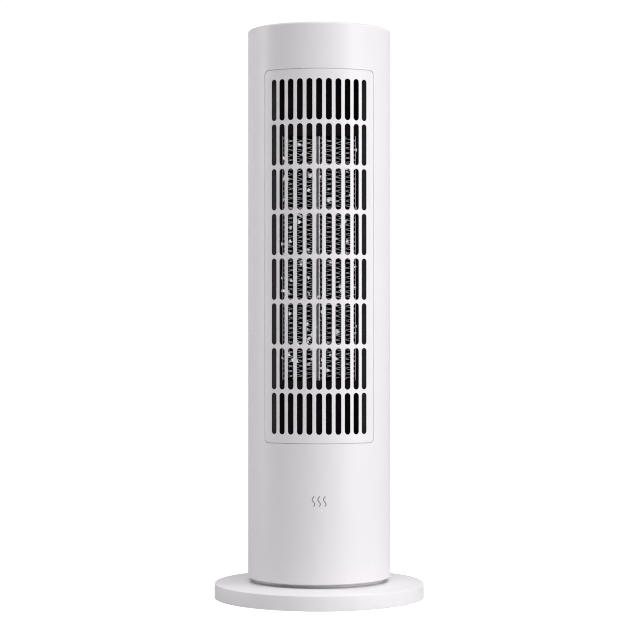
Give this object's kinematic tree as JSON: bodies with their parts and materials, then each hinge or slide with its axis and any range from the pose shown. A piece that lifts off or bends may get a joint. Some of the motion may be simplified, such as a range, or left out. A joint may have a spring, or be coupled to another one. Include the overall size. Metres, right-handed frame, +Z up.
{
  "type": "tower fan heater",
  "caption": "Slim white cylinder fan heater on a round disc base, with a curved slotted outlet panel in front of a finned heating element. The tower swivels on the base.",
  "frame": {"origin": "on the floor, under the middle of the round base", "axes": "+Z up the tower; the air outlet faces -Y; +X to the right of someone facing the outlet"},
  "size_m": [0.1914, 0.1914, 0.519],
  "materials": {
    "tower_white": "satin moulded plastic with a very fine grain",
    "button_white": "satin moulded plastic",
    "base_white": "satin moulded plastic, a little glossier than the tower",
    "black_plastic": "heat-proof black plastic, matt",
    "aluminium": "bare rolled sheet",
    "steel": "zinc plated",
    "nylon": "natural nylon",
    "motor_case": "zinc-plated pressed steel",
    "grey_rubber": "matt rubber",
    "dark_lens": "polished smoked plastic",
    "ballast": "blackened iron",
    "fan_grey": "moulded grey plastic",
    "circuit_board": "green solder resist",
    "component_blue": "dark blue component case"
  },
  "bodies": {
    "base": {"base_cover": "base_white", "base_plate": "base_white", "ballast_ring": "ballast", "foot_pad_1": "grey_rubber", "foot_pad_2": "grey_rubber", "foot_pad_3": "grey_rubber", "foot_pad_4": "grey_rubber", "base_screw_1": "steel", "base_screw_2": "steel", "base_screw_3": "steel", "tip_switch": "black_plastic", "swivel_post": "nylon", "slide_ring": "nylon", "swivel_gear": "nylon", "gear_screw_1": "steel", "gear_screw_2": "steel"},
    "tip_plunger": {"tip_plunger": "nylon"},
    "tower": {"tower_floor": "tower_white", "swivel_motor": "motor_case", "front_shell": "tower_white", "rear_shell": "tower_white", "front_grille": "tower_white", "rear_grille": "tower_white", "dust_screen": "black_plastic", "handle_cup": "tower_white", "cord_gland": "grey_rubber", "shell_screw_1": "steel", "shell_screw_2": "steel", "shell_screw_3": "steel", "shell_screw_4": "steel", "top_cap": "tower_white", "display_window": "dark_lens", "control_board": "circuit_board", "outlet_duct": "black_plastic", "ptc_frame": "black_plastic", "ptc_centre_bar": "aluminium", "ptc_tube_left": "aluminium", "ptc_tube_right": "aluminium", "heat_fins_left_inner": "aluminium", "heat_fins_left_outer": "aluminium", "heat_fins_right_inner": "aluminium", "heat_fins_right_outer": "aluminium", "thermal_cutout": "black_plastic", "fan_scroll": "black_plastic", "fan_tongue": "black_plastic", "blower_floor": "black_plastic", "blower_ceiling": "black_plastic", "fan_motor": "motor_case", "rotor_bearing": "grey_rubber", "power_board": "circuit_board", "relay": "component_blue", "capacitor": "component_blue"},
    "pinion": {"swivel_pinion": "nylon"},
    "rotor": {"fan_wheel": "fan_grey", "fan_shaft": "steel"},
    "minus_button": {"minus_button": "button_white"},
    "mode_button": {"mode_button": "button_white"},
    "power_button": {"power_button": "button_white"},
    "swing_button": {"swing_button": "button_white"},
    "plus_button": {"plus_button": "button_white"}
  },
  "joints": [
    {"name": "tower_swivel", "type": "hinge", "parent": "base", "child": "tower", "pos_m": [0, 0, 0.025], "axis": [0, 0, 1], "range_deg": [-35, 35]},
    {"name": "pinion_spin", "type": "hinge", "parent": "tower", "child": "pinion", "pos_m": [0, -0.045, 0.03], "axis": [0, 0, 1], "range_deg": [-140, 140]},
    {"name": "fan_spin", "type": "hinge", "parent": "tower", "child": "rotor", "pos_m": [0, 0.022, 0.31], "axis": [0, 0, 1], "continuous": true},
    {"name": "tip_plunger_slide", "type": "slide", "parent": "base", "child": "tip_plunger", "axis": [0, 0, -1], "range_m": [0, 0.004], "stiffness_N_per_m": 60, "springref_m": 0.004},
    {"name": "minus_button_press", "type": "slide", "parent": "tower", "child": "minus_button", "axis": [0, 0, -1], "range_m": [0, 0.0008], "stiffness_N_per_m": 600},
    {"name": "mode_button_press", "type": "slide", "parent": "tower", "child": "mode_button", "axis": [0, 0, -1], "range_m": [0, 0.0008], "stiffness_N_per_m": 600},
    {"name": "power_button_press", "type": "slide", "parent": "tower", "child": "power_button", "axis": [0, 0, -1], "range_m": [0, 0.0008], "stiffness_N_per_m": 600},
    {"name": "swing_button_press", "type": "slide", "parent": "tower", "child": "swing_button", "axis": [0, 0, -1], "range_m": [0, 0.0008], "stiffness_N_per_m": 600},
    {"name": "plus_button_press", "type": "slide", "parent": "tower", "child": "plus_button", "axis": [0, 0, -1], "range_m": [0, 0.0008], "stiffness_N_per_m": 600}
  ],
  "couplings": [
    {"joint": "pinion_spin", "follows": "tower_swivel", "ratio": 4}
  ]
}
